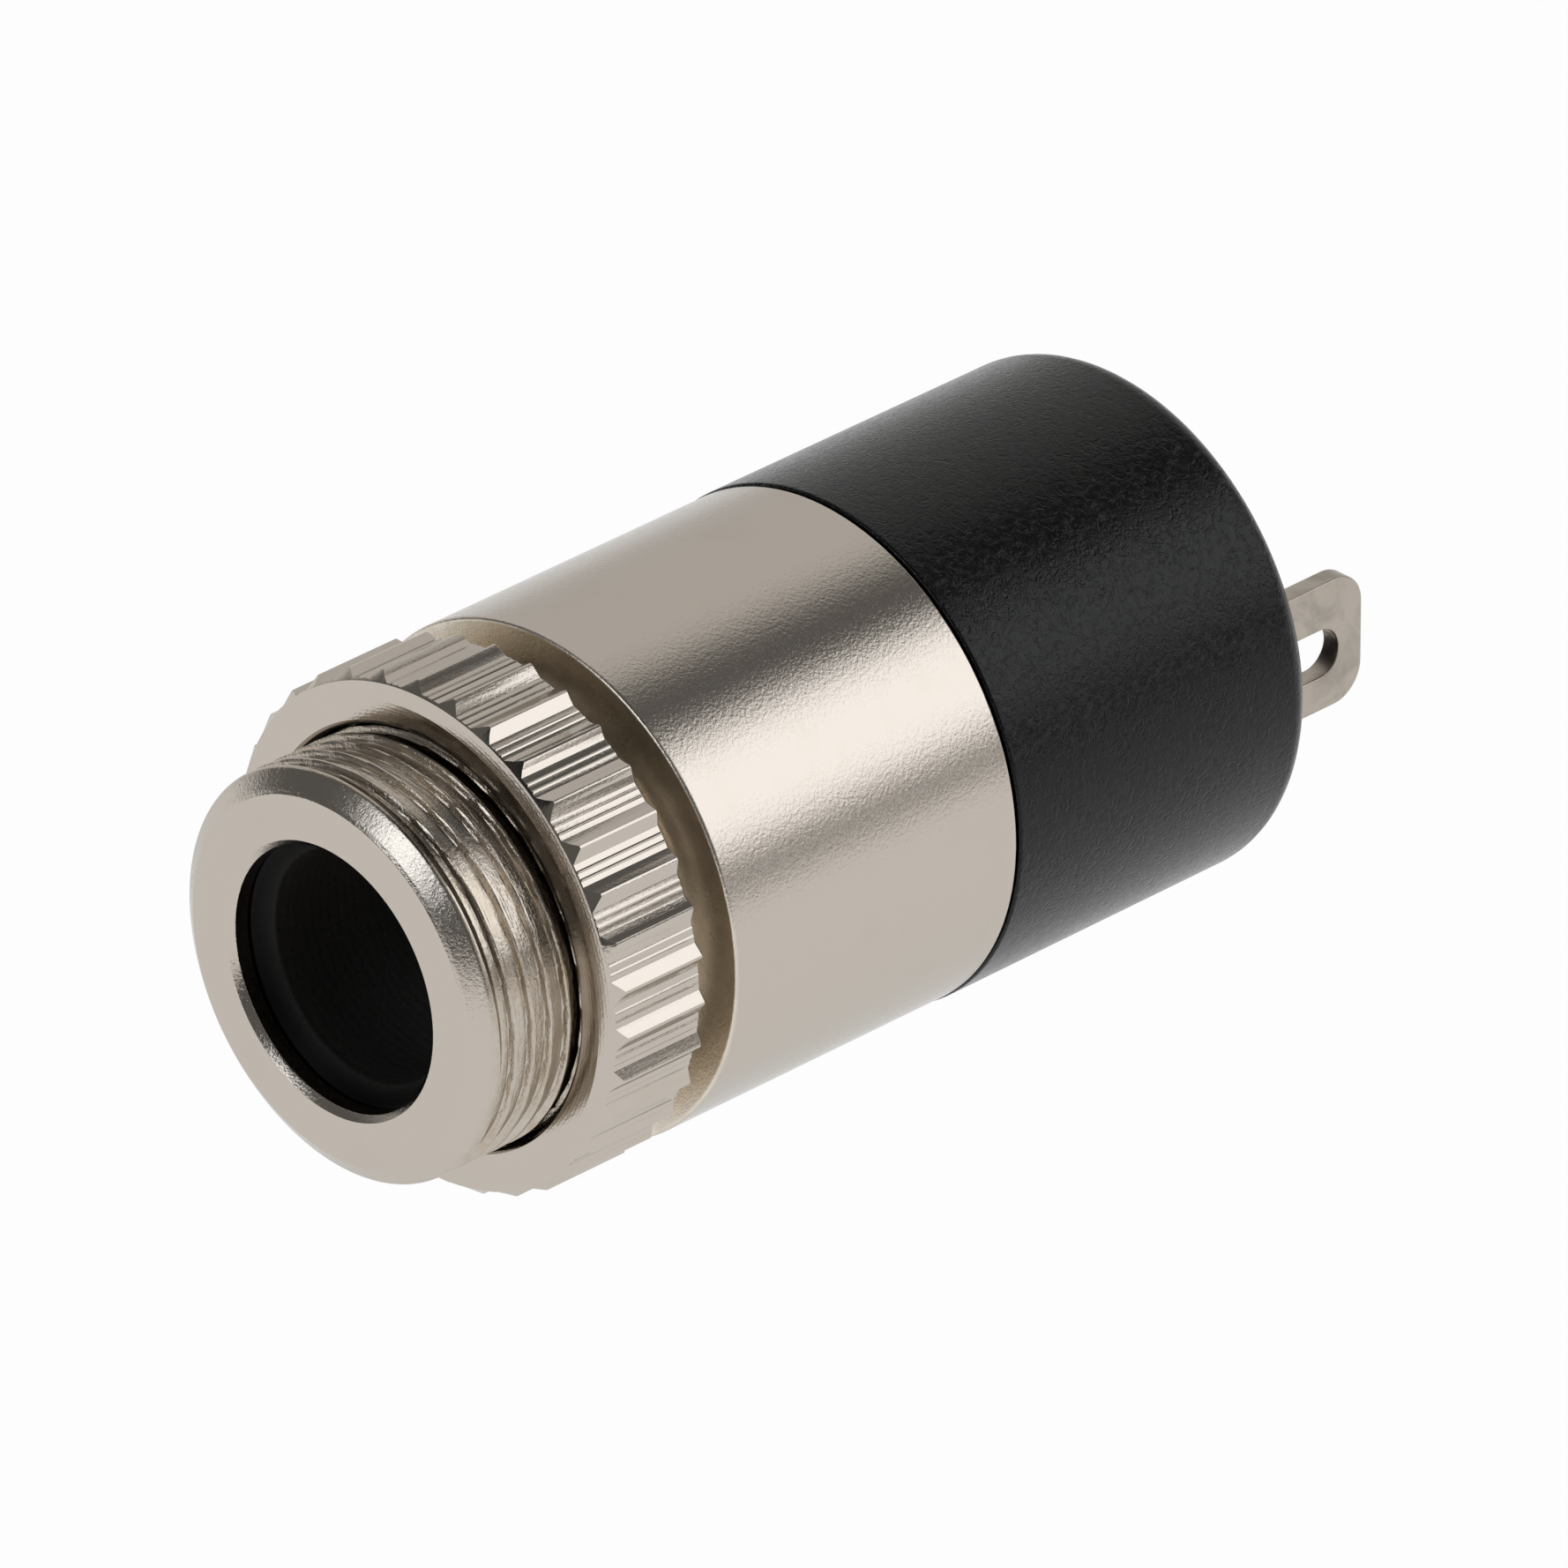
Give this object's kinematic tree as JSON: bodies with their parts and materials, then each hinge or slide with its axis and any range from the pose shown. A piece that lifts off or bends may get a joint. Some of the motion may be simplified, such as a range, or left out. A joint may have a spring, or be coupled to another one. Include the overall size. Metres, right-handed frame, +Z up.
{
  "type": "audio jack socket",
  "caption": "Round panel-mount audio jack socket with a threaded metal neck, knurled ring nut, black moulded rear barrel and flat solder lugs.",
  "frame": {"origin": "centre of the shoulder face that seats on the panel, on the jack's axis", "axes": "-Y out of the mouth along the jack's axis, +Y towards the solder lugs, +X towards the sleeve lug, +Z up"},
  "size_m": [0.008, 0.0179, 0.008],
  "materials": {
    "nickel_plate": "bright nickel plate on turned brass",
    "barrel_plastic": "black moulding with a fine leather grain",
    "carrier_plastic": "smooth black moulding",
    "contact_metal": "satin tin plate on stamped strip"
  },
  "bodies": {
    "socket": {"shell": "nickel_plate", "barrel": "barrel_plastic", "contact_carrier": "carrier_plastic", "tip_contact": "contact_metal", "ring_contact": "contact_metal", "sleeve_contact": "contact_metal"},
    "nut": {"ring_nut": "nickel_plate"}
  },
  "joints": [
    {"name": "nut_travel", "type": "slide", "parent": "socket", "child": "nut", "axis": [0, -1, 0], "range_m": [-0.00061, 0.00312]}
  ]
}
